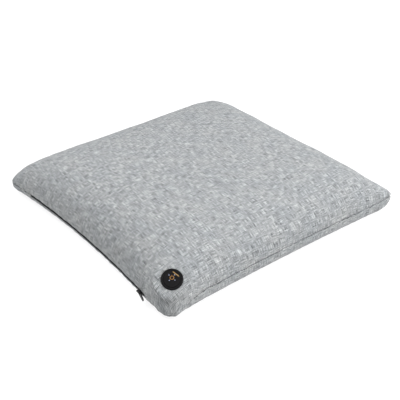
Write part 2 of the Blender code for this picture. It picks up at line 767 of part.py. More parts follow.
def control_button_cap():
    """Round cap that is pressed to switch the pad on."""
    profile = ((0, 0.5 * MM), (9.6 * MM, 0.5 * MM), (9.6 * MM, -2.3 * MM),
               (CAP_SKIRT, -2.3 * MM), (CAP_SKIRT, -1.7 * MM), (CAP_RADIUS, -1.7 * MM),
               (CAP_RADIUS, CAP_TOP - 0.4 * MM), (CAP_RADIUS - 0.5 * MM, CAP_TOP), (0, CAP_TOP))
    item = lathe("control_button_cap", profile, control_matrix())
    ring, bar = power_mark("cutter", -1 * MM, 3 * MM, 0.2 * MM)
    cut(item, ring, bar, *level_posts(-1 * MM, 3 * MM, LEVEL_POST + 0.2 * MM))
    finish(item, material("cap_plastic", (0.010, 0.010, 0.011), 0.5), True, CONTROL_PLACE)


def power_light_guide():
    """Amber light guide that shows through the cap as the power sign."""
    top = CAP_TOP + 0.08 * MM
    shift = control_matrix() @ Matrix.Translation((0, ICON_OFFSET, 0))
    profile = ((0, -0.9 * MM), (3.4 * MM, -0.9 * MM), (3.4 * MM, 0.2 * MM), (0, 0.2 * MM))
    item = lathe("power_light_guide", profile, shift, 24)
    ring, bar = power_mark("part", -0.3 * MM, top, 0.0)
    join(item, ring, bar)
    finish(item, material("amber_guide", (0.85, 0.36, 0.04), 0.35), False, CONTROL_PLACE)


def level_light_guide():
    """Clear light guide with the four posts that show the heat level."""
    shift = control_matrix() @ Matrix.Translation((0, ICON_OFFSET, 0))
    profile = ((3.8 * MM, -0.9 * MM), (5.5 * MM, -0.9 * MM), (5.5 * MM, 0.2 * MM),
               (3.8 * MM, 0.2 * MM))
    item = lathe("level_light_guide", profile, shift, 24)
    join(item, *level_posts(-0.3 * MM, CAP_TOP + 0.06 * MM, LEVEL_POST))
    finish(item, material("clear_guide", (0.62, 0.68, 0.80), 0.3), False, CONTROL_PLACE)


def control_switch_plunger():
    """Plunger of the push switch under the cap."""
    profile = ((0, -3.4 * MM), (1.7 * MM, -3.4 * MM), (1.7 * MM, -1.25 * MM), (0, -1.25 * MM))
    item = lathe("control_switch_plunger", profile, control_matrix(), 16)
    finish(item, material("plunger_plastic", (0.8, 0.8, 0.78), 0.5), True, CONTROL_PLACE)


def control_switch_body():
    """Body of the push switch, open at the top for the plunger."""
    item = box("control_switch_body", (-3 * MM, -3 * MM, -6.1 * MM), (3 * MM, 3 * MM, -2.7 * MM),
               control_matrix())
    cut(item, control_cylinder(2.0 * MM, -5.2 * MM, 0))
    finish(item, material("switch_steel", (0.65, 0.65, 0.66), 0.35, 1.0))


def control_circuit_board():
    """Round board that carries the switch and the lights."""
    profile = ((0, -7.6 * MM), (11.6 * MM, -7.6 * MM), (11.6 * MM, -6.4 * MM), (0, -6.4 * MM))
    item = lathe("control_circuit_board", profile, control_matrix(), 32)
    screws = [place + Vector((0, 0, -9 * MM)) for place in screw_places()]
    holes = [lathe("cutter", ((0, 0), (1.3 * MM, 0), (1.3 * MM, 4 * MM), (0, 4 * MM)),
                   control_matrix() @ Matrix.Translation(place), 12) for place in screws]
    cut(item, *holes)
    finish(item, material("control_board_green", (0.03, 0.25, 0.09), 0.5))


def screw_places():
    """Middles of the board's two screws, in the controller's frame."""
    return [Vector((-9.2 * MM, 0, 0)), Vector((9.2 * MM, 0, 0))]


def control_rear_shell():
    """Cup under the cover that clamps it against the bezel and holds the board."""
    profile = ((0, -SHELL_DEPTH), (SHELL_RADIUS, -SHELL_DEPTH), (SHELL_RADIUS, -3.0 * MM),
               (SHELL_FLANGE, -3.0 * MM), (SHELL_FLANGE, -1.8 * MM), (SHELL_BORE, -1.8 * MM),
               (SHELL_BORE, -11 * MM), (0, -11 * MM))
    item = lathe("control_rear_shell", profile, control_matrix())
    for place in screw_places():
        spot = control_matrix() @ Matrix.Translation(place)
        post = lathe("part", ((0, -11.6 * MM), (2.0 * MM, -11.6 * MM), (2.0 * MM, -7.9 * MM),
                              (0, -7.9 * MM)), spot, 16)
        join(item, post)
        cut(item, lathe("cutter", ((0, -11.4 * MM), (1.1 * MM, -11.4 * MM), (1.1 * MM, -7 * MM),
                                   (0, -7 * MM)), spot, 12))
    cut(item, control_cylinder(1.8 * MM, -14 * MM, -10 * MM),
        tube("cutter", heater_lead_path(), 1.6 * MM))
    finish(item, material("shell_plastic", (0.03, 0.03, 0.033), 0.6), True)


def control_screws():
    """Two screws that hold the board to the rear shell."""
    surface = material("screw_steel", (0.6, 0.6, 0.62), 0.3, 1.0)
    for name, place in zip(("control_screw_left", "control_screw_right"), screw_places()):
        profile = ((0, -10.9 * MM), (0.8 * MM, -10.9 * MM), (0.8 * MM, -6.1 * MM),
                   (1.8 * MM, -6.1 * MM), (1.8 * MM, -5.1 * MM), (0, -5.1 * MM))
        item = lathe(name, profile, control_matrix() @ Matrix.Translation(place), 12)
        finish(item, surface, True)


def power_led():
    """Amber lamp on the board."""
    frame = control_matrix()
    item = box("power_led", (-1.6 * MM, 4.2 * MM, -6.1 * MM), (1.6 * MM, 5.8 * MM, -5.1 * MM),
               frame)
    finish(item, material("led_amber", (0.9, 0.6, 0.2), 0.3))


# ---- zip ----

def zip_tape(name, side):
    """Woven tape sewn behind one rim of the cover."""
    outer = [(o, side * w) for o, w in TAPE_OUTER]
    slope = (TAPE_THICK * 0.3, -side * TAPE_THICK * 0.1)
    inner = [(o - TAPE_THICK, w) for o, w in outer]
    inner[2] = (inner[2][0] + slope[0], inner[2][1] + slope[1])
    outline = outer + inner[::-1]
    stations = []
    for k in range(TAPE_STATIONS + 1):
        along = -TAPE_END + 2 * TAPE_END * k / TAPE_STATIONS
        stations.append([zip_point(along, o, w) for o, w in outline])
    finish(sweep(name, stations), material(name + "_black", (0.015, 0.015, 0.016), 0.9))


def zip_coil(name, side):
    """Ridged coil along the tape's edge."""
    count = 2 * int(COIL_END / COIL_PITCH)
    stations = []
    for k in range(2 * count + 1):
        along = -COIL_END + 2 * COIL_END * k / (2 * count)
        face = COIL_PEAK if k % 2 else COIL_VALLEY
        outline = [(COIL_BACK, COIL_WIDTH[0]), (face, COIL_WIDTH[0]), (face, COIL_WIDTH[1]),
                   (COIL_BACK, COIL_WIDTH[1])]
        stations.append([zip_point(along, o, side * w) for o, w in outline])
    finish(sweep(name, stations), material(name + "_black", (0.012, 0.012, 0.012), 0.5))


def zip_stops():
    """Moulded stop at each end of the coils."""
    surface = material("stop_black", (0.012, 0.012, 0.012), 0.5)
    start = COIL_END + 0.3 * MM
    for name, side in (("zip_near_stop", -1), ("zip_far_stop", 1)):
        frame = zip_matrix(side * (start + STOP_LENGTH / 2))
        half = STOP_LENGTH / 2
        item = box(name, (-0.35 * MM, -half, -2.0 * MM), (1.3 * MM, half, 2.0 * MM), frame)
        finish(item, surface)


def zip_slider_body():
    """Slider: two plates joined through the slot, with the arch for the pull."""
    half = SLIDER_LENGTH / 2
    nose = 0.72
    outline = [(-half, -SLIDER_WIDTH * nose), (-half * 0.3, -SLIDER_WIDTH),
               (half, -SLIDER_WIDTH), (half, SLIDER_WIDTH), (-half * 0.3, SLIDER_WIDTH),
               (-half, SLIDER_WIDTH * nose)]
    # plates lie in the zip's plane: (along, up) outlines with a thickness outwards
    flat = Matrix(((0, 0, -1, 0), (1, 0, 0, 0), (0, 1, 0, 0), (0, 0, 0, 1)))
    frame = zip_matrix(SLIDER_REST)
    item = prism("zip_slider_body", outline, SLIDER_OUTER[0], SLIDER_OUTER[1], frame @ flat)
    back = prism("part", outline, SLIDER_INNER[0], SLIDER_INNER[1], frame @ flat)
    post = box("part", (-SLIDER_OUTER[0] - 0.2 * MM, -1.6 * MM, -SLIDER_POST),
               (-SLIDER_INNER[1] + 0.2 * MM, half - 0.6 * MM, SLIDER_POST), frame)
    arch = box("part", (-ARCH_ROOF[1], -ARCH_OUTER, -ARCH_WIDTH),
               (-SLIDER_OUTER[1] + 0.2 * MM, ARCH_OUTER, ARCH_WIDTH), frame)
    window = box("cutter", (-ARCH_ROOF[0], -ARCH_INNER, -2 * ARCH_WIDTH),
                 (-SLIDER_OUTER[1], ARCH_INNER, 2 * ARCH_WIDTH), frame)
    join(item, back, post, arch)
    cut(item, window)
    finish(item, material("slider_black", (0.012, 0.012, 0.013), 0.4), False, ZIP_CENTRE)


def zip_pull_tab():
    """Pull tab hung in the slider's arch."""
    lean = Matrix.Rotation(-PULL_LEAN, 4, "Z")
    droop = Matrix.Rotation(PULL_DROOP, 4, "X")
    frame = (zip_matrix(SLIDER_REST) @ Matrix.Translation((-PULL_PIVOT, 0, 0)) @ lean @ droop)
    sides = [(0.6 * MM, 2.7 * MM), (-PULL_LENGTH * 0.8, 2.9 * MM), (-PULL_LENGTH * 0.95, 2.3 * MM),
             (-PULL_LENGTH, 1.0 * MM)]
    outline = sides + [(along, -up) for along, up in reversed(sides)]
    flat = Matrix(((0, 0, 1, 0), (1, 0, 0, 0), (0, 1, 0, 0), (0, 0, 0, 1)))
    item = prism("zip_pull_tab", outline, -PULL_THICK, PULL_THICK, frame @ flat)
    cut(item, box("cutter", (-1 * MM, -PULL_BODY_START, -1.75 * MM), (1 * MM, 2 * MM, 1.75 * MM),
                  frame))
    bar = lathe("part", ((0, -2.2 * MM), (PULL_BAR, -2.2 * MM), (PULL_BAR, 2.2 * MM),
                         (0, 2.2 * MM)), frame, 12)
    join(item, bar)
    finish(item, material("pull_black", (0.015, 0.015, 0.016), 0.45), False, frame.translation)


def build():
    """Make every sub-part."""
    clear_scene()
    cover_top_panel()
    cover_bottom_panel()
    wadding_layer()
    mat_layer("heater_felt_upper", FELT_UPPER, material("felt_upper_white", (0.8, 0.8, 0.78), 1.0))
    mat_layer("heater_felt_lower", FELT_LOWER, material("felt_lower_white", (0.8, 0.8, 0.78), 1.0))
    mat_layer("heat_reflector_foil", FOIL, material("reflector", (0.8, 0.8, 0.82), 0.25, 1.0))
    heater_wire()
    heater_joint()
    heater_lead()
    heater_thermostat()
    comfort_foam_slab()
    base_foam_slab()
    battery_sleeve()
    battery_case("battery_case_lower", BATTERY_Z[0], CASE_SPLIT - 0.15 * MM,
                 BATTERY_Z[0] + CASE_WALL, CASE_SPLIT + MM)
    battery_case("battery_case_upper", CASE_SPLIT + 0.15 * MM, BATTERY_Z[1],
                 CASE_SPLIT - MM, BATTERY_Z[1] - CASE_WALL)
    battery_cells()
    battery_circuit_board()
    battery_output_socket()
    power_plug()
    battery_lead()
    control_bezel()
    control_button_cap()
    power_light_guide()
    level_light_guide()
    control_switch_plunger()
    control_switch_body()
    control_circuit_board()
    control_rear_shell()
    control_screws()
    power_led()
    zip_tape("zip_tape_upper", 1)
    zip_tape("zip_tape_lower", -1)
    zip_coil("zip_coil_upper", 1)
    zip_coil("zip_coil_lower", -1)
    zip_stops()
    zip_slider_body()
    zip_pull_tab()


build()
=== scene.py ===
"""Looks of the battery-heated kneeling pad: woven cover, zip, controller, lights and camera."""
import json
import math

import bmesh
import bpy
import numpy as np
from mathutils import Matrix, Vector
from mathutils.bvhtree import BVHTree


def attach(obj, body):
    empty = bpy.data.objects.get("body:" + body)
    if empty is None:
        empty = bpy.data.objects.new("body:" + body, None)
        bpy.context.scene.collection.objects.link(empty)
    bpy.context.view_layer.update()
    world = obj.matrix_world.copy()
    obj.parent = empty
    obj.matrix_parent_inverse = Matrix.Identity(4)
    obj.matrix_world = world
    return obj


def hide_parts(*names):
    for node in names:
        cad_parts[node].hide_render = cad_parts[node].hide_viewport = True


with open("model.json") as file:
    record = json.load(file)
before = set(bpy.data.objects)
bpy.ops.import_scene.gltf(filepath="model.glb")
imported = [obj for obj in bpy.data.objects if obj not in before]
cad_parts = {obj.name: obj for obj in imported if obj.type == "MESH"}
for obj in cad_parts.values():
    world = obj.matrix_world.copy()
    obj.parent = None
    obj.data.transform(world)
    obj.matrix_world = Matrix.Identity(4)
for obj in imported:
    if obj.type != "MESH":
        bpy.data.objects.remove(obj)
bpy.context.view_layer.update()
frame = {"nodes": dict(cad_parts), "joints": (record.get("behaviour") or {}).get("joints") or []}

MM = 0.001
TAU = 2 * math.pi

# ---- cover shape, in metres: the same pad as the CAD part ----
HALF_X = 0.2005
HALF_Y = 0.1953
PULL_X = 0.0093
PULL_Y = 0.0045
CROWN = 0.0695
CROWN_POWER_X = 5.9
CROWN_POWER_Y = 3.92
CROWN_ROOT = 1 / 2.076
BASE_POWER_X = 22.3
BASE_POWER_Y = 50.0
BASE_ROOT = 1 / 2.23
TUCK_X = 0.0032
CORNER_CUT = 0.0173
NEAR_CORNER_CUT = 0.0455
NEAR_TUCK = 4.1 * MM
NEAR_TUCK_TOP = 14 * MM
CORNER_SHARPNESS = 20           # how suddenly the corners are rounded off
CORNER_START = 0.78             # a corner begins where u times v reaches this
NEAR_SEAM_START = 0.65          # the seam starts down to the near corner sooner
SEAM_ZIP = 0.01726
ZIP_SLOPE = 0.0143
SEAM_OPPOSITE = 0.0196
SEAM_SIDE = 0.0204
SEAM_CORNERS = ((0.0062, 0.0175), (0.0236, 0.0175))     # by side across, then along
EARS_X = ((-0.0033, -0.0012), (0.0029, 0.0))    # how far each corner is drawn out
EARS_Y = ((0.0042, -0.0012), (0.0018, 0.0))
ROUNDING = ((NEAR_CORNER_CUT, CORNER_CUT), (CORNER_CUT, CORNER_CUT))
TUCK_REACH = 0.15               # the base is drawn in over this share of the half width
BASE_FLAT = 0.25 * MM           # the base lies flat wherever it is lower than this
GRID = 161                      # cloth lines each way on the finished cover
SIM_GRID = 69                   # cloth lines each way while it settles
EDGE_CROWDING = 1.5             # how much closer the cloth lines lie towards the edges

# ---- seams ----
SEAM_ROLL = 1.1 * MM            # radius of the rolled edge beside the seam
SEAM_GAP = 0.58 * MM            # half the groove between the two rolls
STITCH_GAP = 0.06 * MM          # half the gap left where the two panels are sewn
STITCH_DEPTH = 3.0 * MM         # how far in behind the rolls they are sewn
ROLL_STRETCH = 1.024            # the thread pattern's stretch where the edge rolls in
ROLL_ANGLES = (30, 60, 90)      # degrees of the rings that turn the edge in
SEAM_WAVE = 0.2 * MM
SEAM_WAVES = ((0.047, 1.0, 0.8), (0.0213, 0.7, 2.1))    # pitch, share, phase
SEAM_TURN = 2.3                 # how fast the near corner's start changes across its diagonal
CLOSED_FROM = 0.74              # the groove closes where u times v reaches this
CLOSED_OVER = 0.1
CLOSED_SHARE = 0.94
OPEN_FROM = 0.86                # and widens by the right corner where it reaches this
OPEN_OVER = 0.08
OPEN_SHARE = 0.9
LEAST_ROLL = 0.15               # the roll's share that is left where the groove is closed
ZIP_ROLL_LOSS = 0.55            # the roll's share that is lost along the zip
FILLING_GAP = 0.45 * MM         # the cloth stays this far off the filling
FILLING_REACH = 6 * MM          # how far out from the cloth the filling is looked for
ZIP_GAP = 1.6 * MM              # half the slot that the coils show in
SLOT_NEAR = -0.755              # the slot's two ends, as shares of the half width
SLOT_FAR = 0.695
SLOT_NEAR_FADE = 0.03
SLOT_FAR_FADE = 0.02
SLOT_SIDE = 0.6                 # the slot is only on the zipped side, from this share out
SLOT_SIDE_FADE = 0.3
PUCKER = 0.35 * MM
PUCKER_REACH = 11 * MM
PUCKER_START = 1.5 * MM         # the gathers rise within this depth of the seam
PUCKER_WAVES = ((0.0113, 1.0, 1.3), (0.0187, 0.8, 4.1), (0.0071, 0.6, 2.2), (0.041, 0.9, 0.0))
PUCKER_SHIFT_X = 0.13           # so that opposite edges don't gather alike
PUCKER_SHIFT_Y = 0.37
PUCKER_FALL = 0.6               # the share of height that counts as depth

# ---- how the cloth settles ----
SETTLE_FRAMES = 20
CLAMP_RADIUS = 24 * MM          # the cloth is held this far round the controller
WRINKLE_SHARE = 0.4
SWELL_SHARE = 0.05
SWELL_PASSES = 40
SMOOTH_PASSES = 3
TOP_WRINKLE = 0.7 * MM          # the most that a wrinkle moves the cloth
BASE_WRINKLE = 0.6 * MM
BASE_LIFT = 4 * MM              # the base wrinkles fully from this height

# ---- controller ----
FLAT_RADIUS = 22 * MM
FADE_RADIUS = 31.5 * MM
HOLE_RADIUS = 13.0 * MM
HOLE_DEPTH = 8 * MM             # only cloth this near the rim plane is cut
HOLE_REACH = 30 * MM
CLAMP_DEPTH = 20 * MM           # cloth further than this under the rim plane isn't drawn
CLOTH_DROP = 0.05 * MM          # the cloth lies this far under the bezel's rim plane
BEZEL_FLANGE = 1.9 * MM         # from the rim plane to the top of the bezel
CAP_TOP = 1.75 * MM

# ---- camera ----
AZIMUTH = -38.475
ELEVATION = 32.174
DISTANCE = 1.2434
SHIFT_RIGHT = 0.0059
SHIFT_UP = 0.0005
LENS = 76.5
SENSOR = 36.0
ROLL = -0.353

joints = {j["name"]: j for j in frame["joints"]}
ZIP_CENTRE = Vector(joints["zip_slide"]["pos_m"])
ZIP_PULL = 10.5 * MM
ZIP_RADIUS = -(HALF_X - ZIP_PULL) - ZIP_CENTRE.x
CONTROL_NORMAL = -Vector(joints["button_press"]["axis"]).normalized()


def node_points(name):
    """Vertices of a CAD node."""
    mesh = frame["nodes"][name].data
    co = np.zeros(len(mesh.vertices) * 3)
    mesh.vertices.foreach_get("co", co)
    return co.reshape(-1, 3)


def control_place():
    """Point on the controller's axis in the plane of the cloth."""
    points = node_points("control_bezel")
    middle = Vector((points.min(0) + points.max(0)) / 2)
    along = (points - np.array(middle)) @ np.array(CONTROL_NORMAL)
    return middle + CONTROL_NORMAL * (float(along.max()) - BEZEL_FLANGE)


CONTROL = control_place()


def control_matrix():
    """The controller's frame: Z out of the cap, Y up the slope of the pad."""
    normal = CONTROL_NORMAL
    uphill = (Vector((0, 0, 1)) - normal * normal.z).normalized()
    matrix = Matrix((uphill.cross(normal), uphill, normal)).transposed().to_4x4()
    matrix.translation = CONTROL
    return matrix


# ---------------------------------------------------------------- shape of the cover

def ease(t):
    """Ease from 0 to 1 as t passes from 0 to 1."""
    t = np.clip(t, 0, 1)
    return t * t * (3 - 2 * t)


def corner_share(u, v):
    """0 along the edges and the middle, 1 at the very corners."""
    return ease((np.abs(u * v) - CORNER_START) / (1 - CORNER_START))


def by_corner(table, u, v):
    """Pick a corner's value for each point."""
    near = np.where(v < 0, table[0][0], table[0][1])
    away = np.where(v < 0, table[1][0], table[1][1])
    return np.where(u < 0, near, away)


def plan(u, v, inset):
    """Plan position for shares of the half widths."""
    share = corner_share(u, v)
    ear_x = by_corner(EARS_X, u, v) * share
    ear_y = by_corner(EARS_Y, u, v) * share
    cut = 1 - by_corner(ROUNDING, u, v) * np.abs(u * v) ** CORNER_SHARPNESS
    zipped = ZIP_PULL - (v * HALF_Y - ZIP_CENTRE.y) ** 2 / (2 * ZIP_RADIUS)
    bow = np.where(u < 0, zipped, PULL_X * (1 - v * v))
    x = u * (HALF_X - inset - bow) * cut + np.sign(u) * ear_x
    y = v * (HALF_Y - inset - PULL_Y * (1 - u * u)) * cut + np.sign(v) * ear_y
    return x, y


def tucked(points, u, v):
    """Draw the lowest cloth in under the rounded near corner."""
    share = np.where((u < 0) & (v < 0), corner_share(u, v), 0.0)
    low = np.clip(1 - points[..., 2] / NEAR_TUCK_TOP, 0, 1) ** 2
    shift = NEAR_TUCK * share * low
    return points + np.stack([shift, shift, 0 * shift], -1)


def waves(table, length):
    """A sum of sines along a length, from rows of pitch, share and phase."""
    return sum(share * np.sin(TAU * length / pitch + phase) for pitch, share, phase in table)


def seam_height(u, v):
    """Height of the seam between the two panels."""
    side = ease((np.abs(u) - np.abs(v)) / (1 - CORNER_START))
    level = np.where(u < 0, SEAM_ZIP + ZIP_SLOPE * v * HALF_Y, SEAM_OPPOSITE)
    edge = SEAM_SIDE + (level - SEAM_SIDE) * side
    share = corner_share(u, v)
    turn = ease(0.5 + (np.abs(u) - np.abs(v)) * SEAM_TURN)
    start = NEAR_SEAM_START + (CORNER_START - NEAR_SEAM_START) * turn
    early = ease((np.abs(u * v) - start) / (1 - start))
    share = np.where((u < 0) & (v < 0), early, share)
    edge = edge + (by_corner(SEAM_CORNERS, u, v) - edge) * share
    wave = waves(SEAM_WAVES, u * HALF_X)
    return edge + SEAM_WAVE * wave * (1 - side) * (1 - corner_share(u, v))


def slot_share(u, v):
    """1 along the zip's open slot, 0 along every other seam."""
    near_end = ease((v - SLOT_NEAR) / SLOT_NEAR_FADE)
    far_end = ease((SLOT_FAR + SLOT_FAR_FADE - v) / SLOT_FAR_FADE)
    return near_end * far_end * ease((-u - SLOT_SIDE) / SLOT_SIDE_FADE)


def seam_width(u, v):
    """How open the seam's groove is: closed by the near corner, wide by the right one."""
    reach = np.abs(u * v)
    near = np.where((u < 0) & (v < 0), ease((reach - CLOSED_FROM) / CLOSED_OVER), 0.0)
    right = np.where((u > 0) & (v < 0), ease((reach - OPEN_FROM) / OPEN_OVER), 0.0)
    return 1 - CLOSED_SHARE * near + OPEN_SHARE * right


def slot_gap(u, v):
    """Half the gap between the two rims: wider along the zip."""
    seam = SEAM_GAP * seam_width(u, v)
    return seam + (ZIP_GAP - seam) * slot_share(u, v)


def roll_radius(u, v):
    """Radius of the rolled edge: tight along the zip and by the near corner."""
    seam = SEAM_ROLL * np.minimum(1, LEAST_ROLL + seam_width(u, v))
    return seam * (1 - ZIP_ROLL_LOSS * slot_share(u, v))


def top_surface(u, v):
    """The stuffed top, ending at the level where its edge starts to roll in."""
    x, y = plan(u, v, 0.0)
    base = seam_height(u, v) + slot_gap(u, v) + roll_radius(u, v)
    bulge = (1 - np.abs(u) ** CROWN_POWER_X) * (1 - np.abs(v) ** CROWN_POWER_Y)
    z = base + (CROWN - base) * np.clip(bulge, 0, 1) ** CROWN_ROOT
    return tucked(np.stack([x, y, z], -1), u, v)


def base_surface(u, v):
    """The underside, tucked in a little under the seam."""
    base = seam_height(u, v) - slot_gap(u, v) - roll_radius(u, v)
    bulge = (1 - np.abs(u) ** BASE_POWER_X) * (1 - np.abs(v) ** BASE_POWER_Y)
    fill = np.clip(bulge, 0, 1) ** BASE_ROOT
    x, y = plan(u, v, 0.0)
    near_edge = fill * (1 - np.clip((1 - np.abs(u)) / TUCK_REACH, 0, 1))
    x = x - u * TUCK_X * (1 - v ** 4) * near_edge
    z = base * (1 - fill)
    return tucked(np.stack([x, y, np.where(z < BASE_FLAT, 0.0, z)], -1), u, v)


def under_controller(points):
    """Draw the cloth flat where the controller clamps it."""
    normal = np.array(CONTROL_NORMAL)
    offset = points - np.array(CONTROL)
    height = offset @ normal
    reach = np.linalg.norm(offset - height[..., None] * normal, axis=-1)
    share = 1 - ease((reach - FLAT_RADIUS) / (FADE_RADIUS - FLAT_RADIUS))
    share = np.where(height > -CLAMP_DEPTH, share, 0.0)
    return points - ((height + CLOTH_DROP) * share)[..., None] * normal


def grid_lines(count):
    """Cloth lines, closer together towards the edges."""
    t = np.linspace(-1, 1, count)
    return np.sign(t) * (1 - (1 - np.abs(t)) ** EDGE_CROWDING)


def smoothed(field, passes):
    """Average a grid with its neighbours, keeping its border."""
    field = field.copy()
    for _ in range(passes):
        inner = (field[:-2, 1:-1] + field[2:, 1:-1] + field[1:-1, :-2] + field[1:-1, 2:]
                 + 4 * field[1:-1, 1:-1]) / 8
        field[1:-1, 1:-1] = inner
    return field


def resampled(field, coarse, fine):
    """Carry a field from the coarse cloth lines to the fine ones."""
    step = np.stack([[np.interp(fine, coarse, field[:, j, k]) for j in range(len(coarse))]
                     for k in range(3)], -1).transpose(1, 0, 2)
    return np.stack([[np.interp(fine, coarse, step[i, :, k]) for i in range(len(fine))]
                     for k in range(3)], -1)


def grid_faces(count, flip=False):
    """Quads of a square grid of points."""
    faces = []
    for i in range(count - 1):
        for j in range(count - 1):
            a = i * count + j
            quad = (a, a + count, a + count + 1, a + 1)
            faces.append(quad[::-1] if flip else quad)
    return faces


def border_of(count):
    """Indices round the border of a square grid, in order."""
    ring = [i * count for i in range(count)]
    ring += [(count - 1) * count + j for j in range(1, count)]
    ring += [i * count + count - 1 for i in range(count - 2, -1, -1)]
    ring += list(range(count - 2, 0, -1))
    return ring


def settle_cover():
    """Let the stuffed cover settle as cloth and return how far each point moved."""
    count = SIM_GRID
    lines = grid_lines(count)
    u, v = np.meshgrid(lines, lines, indexing="ij")
    top = under_controller(top_surface(u, v))
    base = base_surface(u, v)
    ring = border_of(count)
    middle = (top.reshape(-1, 3)[ring] + base.reshape(-1, 3)[ring]) / 2
    points = top.reshape(-1, 3).copy()
    points[ring] = middle
    lower = np.arange(count * count) + count * count
    lower[ring] = ring
    faces = grid_faces(count)
    faces += [tuple(int(lower[k]) for k in f) for f in grid_faces(count, True)]
    everything = np.concatenate([points, base.reshape(-1, 3)])
    used = sorted({k for f in faces for k in f})
    place = {k: n for n, k in enumerate(used)}
    mesh = bpy.data.meshes.new("settling_cover")
    mesh.from_pydata(everything[used].tolist(), [], [[place[k] for k in f] for f in faces])
    cloth = bpy.data.objects.new("settling_cover", mesh)
    bpy.context.scene.collection.objects.link(cloth)
    held = cloth.vertex_groups.new(name="held")
    reach = np.linalg.norm(top.reshape(-1, 3) - np.array(CONTROL), axis=1)
    fixed = set(ring) | {int(k) for k in np.nonzero(reach < CLAMP_RADIUS)[0]}
    held.add([place[k] for k in fixed], 1.0, "REPLACE")
    after = settled(cloth)
    bpy.data.objects.remove(cloth)
    moved = np.zeros((2 * count * count, 3))
    moved[used] = after - everything[used]
    upper = moved[:count * count].reshape(count, count, 3)
    under = moved[count * count:].reshape(count, count, 3)
    return lines, upper, under


def settled(cloth):
    """Run the cloth simulation, with its "held" points fixed, and return where the points end."""
    change = cloth.modifiers.new("cloth", "CLOTH")
    change.settings.quality = 6
    change.settings.mass = 0.3
    change.settings.tension_stiffness = 25
    change.settings.compression_stiffness = 25
    change.settings.shear_stiffness = 12
    change.settings.bending_stiffness = 0.8
    change.settings.shrink_min = -0.022
    change.settings.use_pressure = True
    change.settings.uniform_pressure_force = 4
    change.settings.vertex_group_mass = "held"
    change.settings.effector_weights.gravity = 0
    change.collision_settings.use_collision = False
    change.point_cache.frame_start = 1
    change.point_cache.frame_end = SETTLE_FRAMES
    scene = bpy.context.scene
    for step in range(1, SETTLE_FRAMES + 1):
        scene.frame_set(step)
    shape = cloth.evaluated_get(bpy.context.evaluated_depsgraph_get()).data
    after = np.zeros(len(shape.vertices) * 3)
    shape.vertices.foreach_get("co", after)
    scene.frame_set(1)
    return after.reshape(-1, 3)


def kept_wrinkles(moved, most):
    """The cloth's fine wrinkles with a little of its swell, capped."""
    swell = smoothed(moved, SWELL_PASSES)
    kept = WRINKLE_SHARE * (moved - swell) + SWELL_SHARE * swell
    kept = smoothed(kept, SMOOTH_PASSES)
    size = np.linalg.norm(kept, axis=-1, keepdims=True)
    return kept * np.minimum(1, most / np.maximum(size, 1e-9))


def pucker(points, u, v):
    """Small gathers where the cloth is pulled into the seam."""
    edge = np.maximum(np.abs(u), np.abs(v))
    along = np.where(np.abs(u) > np.abs(v), points[..., 1] + PUCKER_SHIFT_X * np.sign(u),
                     points[..., 0] + PUCKER_SHIFT_Y * np.sign(v))
    depth = (1 - edge) * HALF_X + np.abs(points[..., 2] - seam_height(u, v)) * PUCKER_FALL
    share = PUCKER * np.exp(-depth / PUCKER_REACH) * (1 - np.exp(-depth / PUCKER_START))
    return points + grid_normals(points) * (waves(PUCKER_WAVES, along) * share)[..., None]


def grid_normals(points):
    """Unit normals of a grid of points."""
    du = np.gradient(points, axis=0)
    dv = np.gradient(points, axis=1)
    normal = np.cross(du, dv)
    return normal / np.maximum(np.linalg.norm(normal, axis=-1, keepdims=True), 1e-12)


def clear_of(points, node):
    """Lift the cloth off the filling wherever it comes too near."""
    mesh = frame["nodes"][node].data
    tree = BVHTree.FromPolygons([v.co for v in mesh.vertices],
                                [p.vertices[:] for p in mesh.polygons])
    normals = grid_normals(points)
    lifted = points.copy()
    for place in np.ndindex(points.shape[:2]):
        normal = Vector(normals[place])
        start = Vector(points[place]) + normal * FILLING_REACH
        hit = tree.ray_cast(start, -normal, FILLING_REACH + FILLING_GAP)[0]
        if hit is not None:
            lifted[place] = hit + normal * FILLING_GAP
    return lifted


def cloth_coordinates(points):
    """Lengths along the cloth both ways from its middle, in metres."""
    half = points.shape[0] // 2
    both = []
    for axis in (0, 1):
        step = np.linalg.norm(np.diff(points, axis=axis), axis=-1)
        length = np.concatenate([np.zeros_like(np.take(step, [0], axis)), np.cumsum(step, axis)],
                                axis)
        both.append(length - np.take(length, [half], axis))
    return np.stack(both, -1)


def cloth_object(name, points, rolled, up):
    """A panel of cloth: its grid, then the rings of its rolled-in edge."""
    count = points.shape[0]
    verts = points.reshape(-1, 3)
    spread = cloth_coordinates(points).reshape(-1, 2)
    faces = grid_faces(count, not up)
    ring = border_of(count)
    last = ring
    for offsets in rolled:
        start = len(verts)
        verts = np.concatenate([verts, offsets])
        spread = np.concatenate([spread, spread[ring] * ROLL_STRETCH])
        fresh = list(range(start, start + len(ring)))
        for k in range(len(ring)):
            m = (k + 1) % len(ring)
            quad = (last[k], last[m], fresh[m], fresh[k])
            faces.append(quad[::-1] if up else quad)
        last = fresh
    return build_mesh(name, verts, faces, spread)


def build_mesh(name, verts, faces, spread=None):
    """A smooth mesh object, with the cloth's own coordinates if given."""
    mesh = bpy.data.meshes.new(name)
    mesh.from_pydata(np.asarray(verts).tolist(), [], faces)
    if spread is not None:
        layer = mesh.uv_layers.new(name="cloth")
        index = np.zeros(len(mesh.loops), int)
        mesh.loops.foreach_get("vertex_index", index)
        layer.data.foreach_set("uv", spread[index].astype(np.float32).ravel())
    mesh.shade_smooth()
    piece = bpy.data.objects.new(name, mesh)
    bpy.context.scene.collection.objects.link(piece)
    return piece


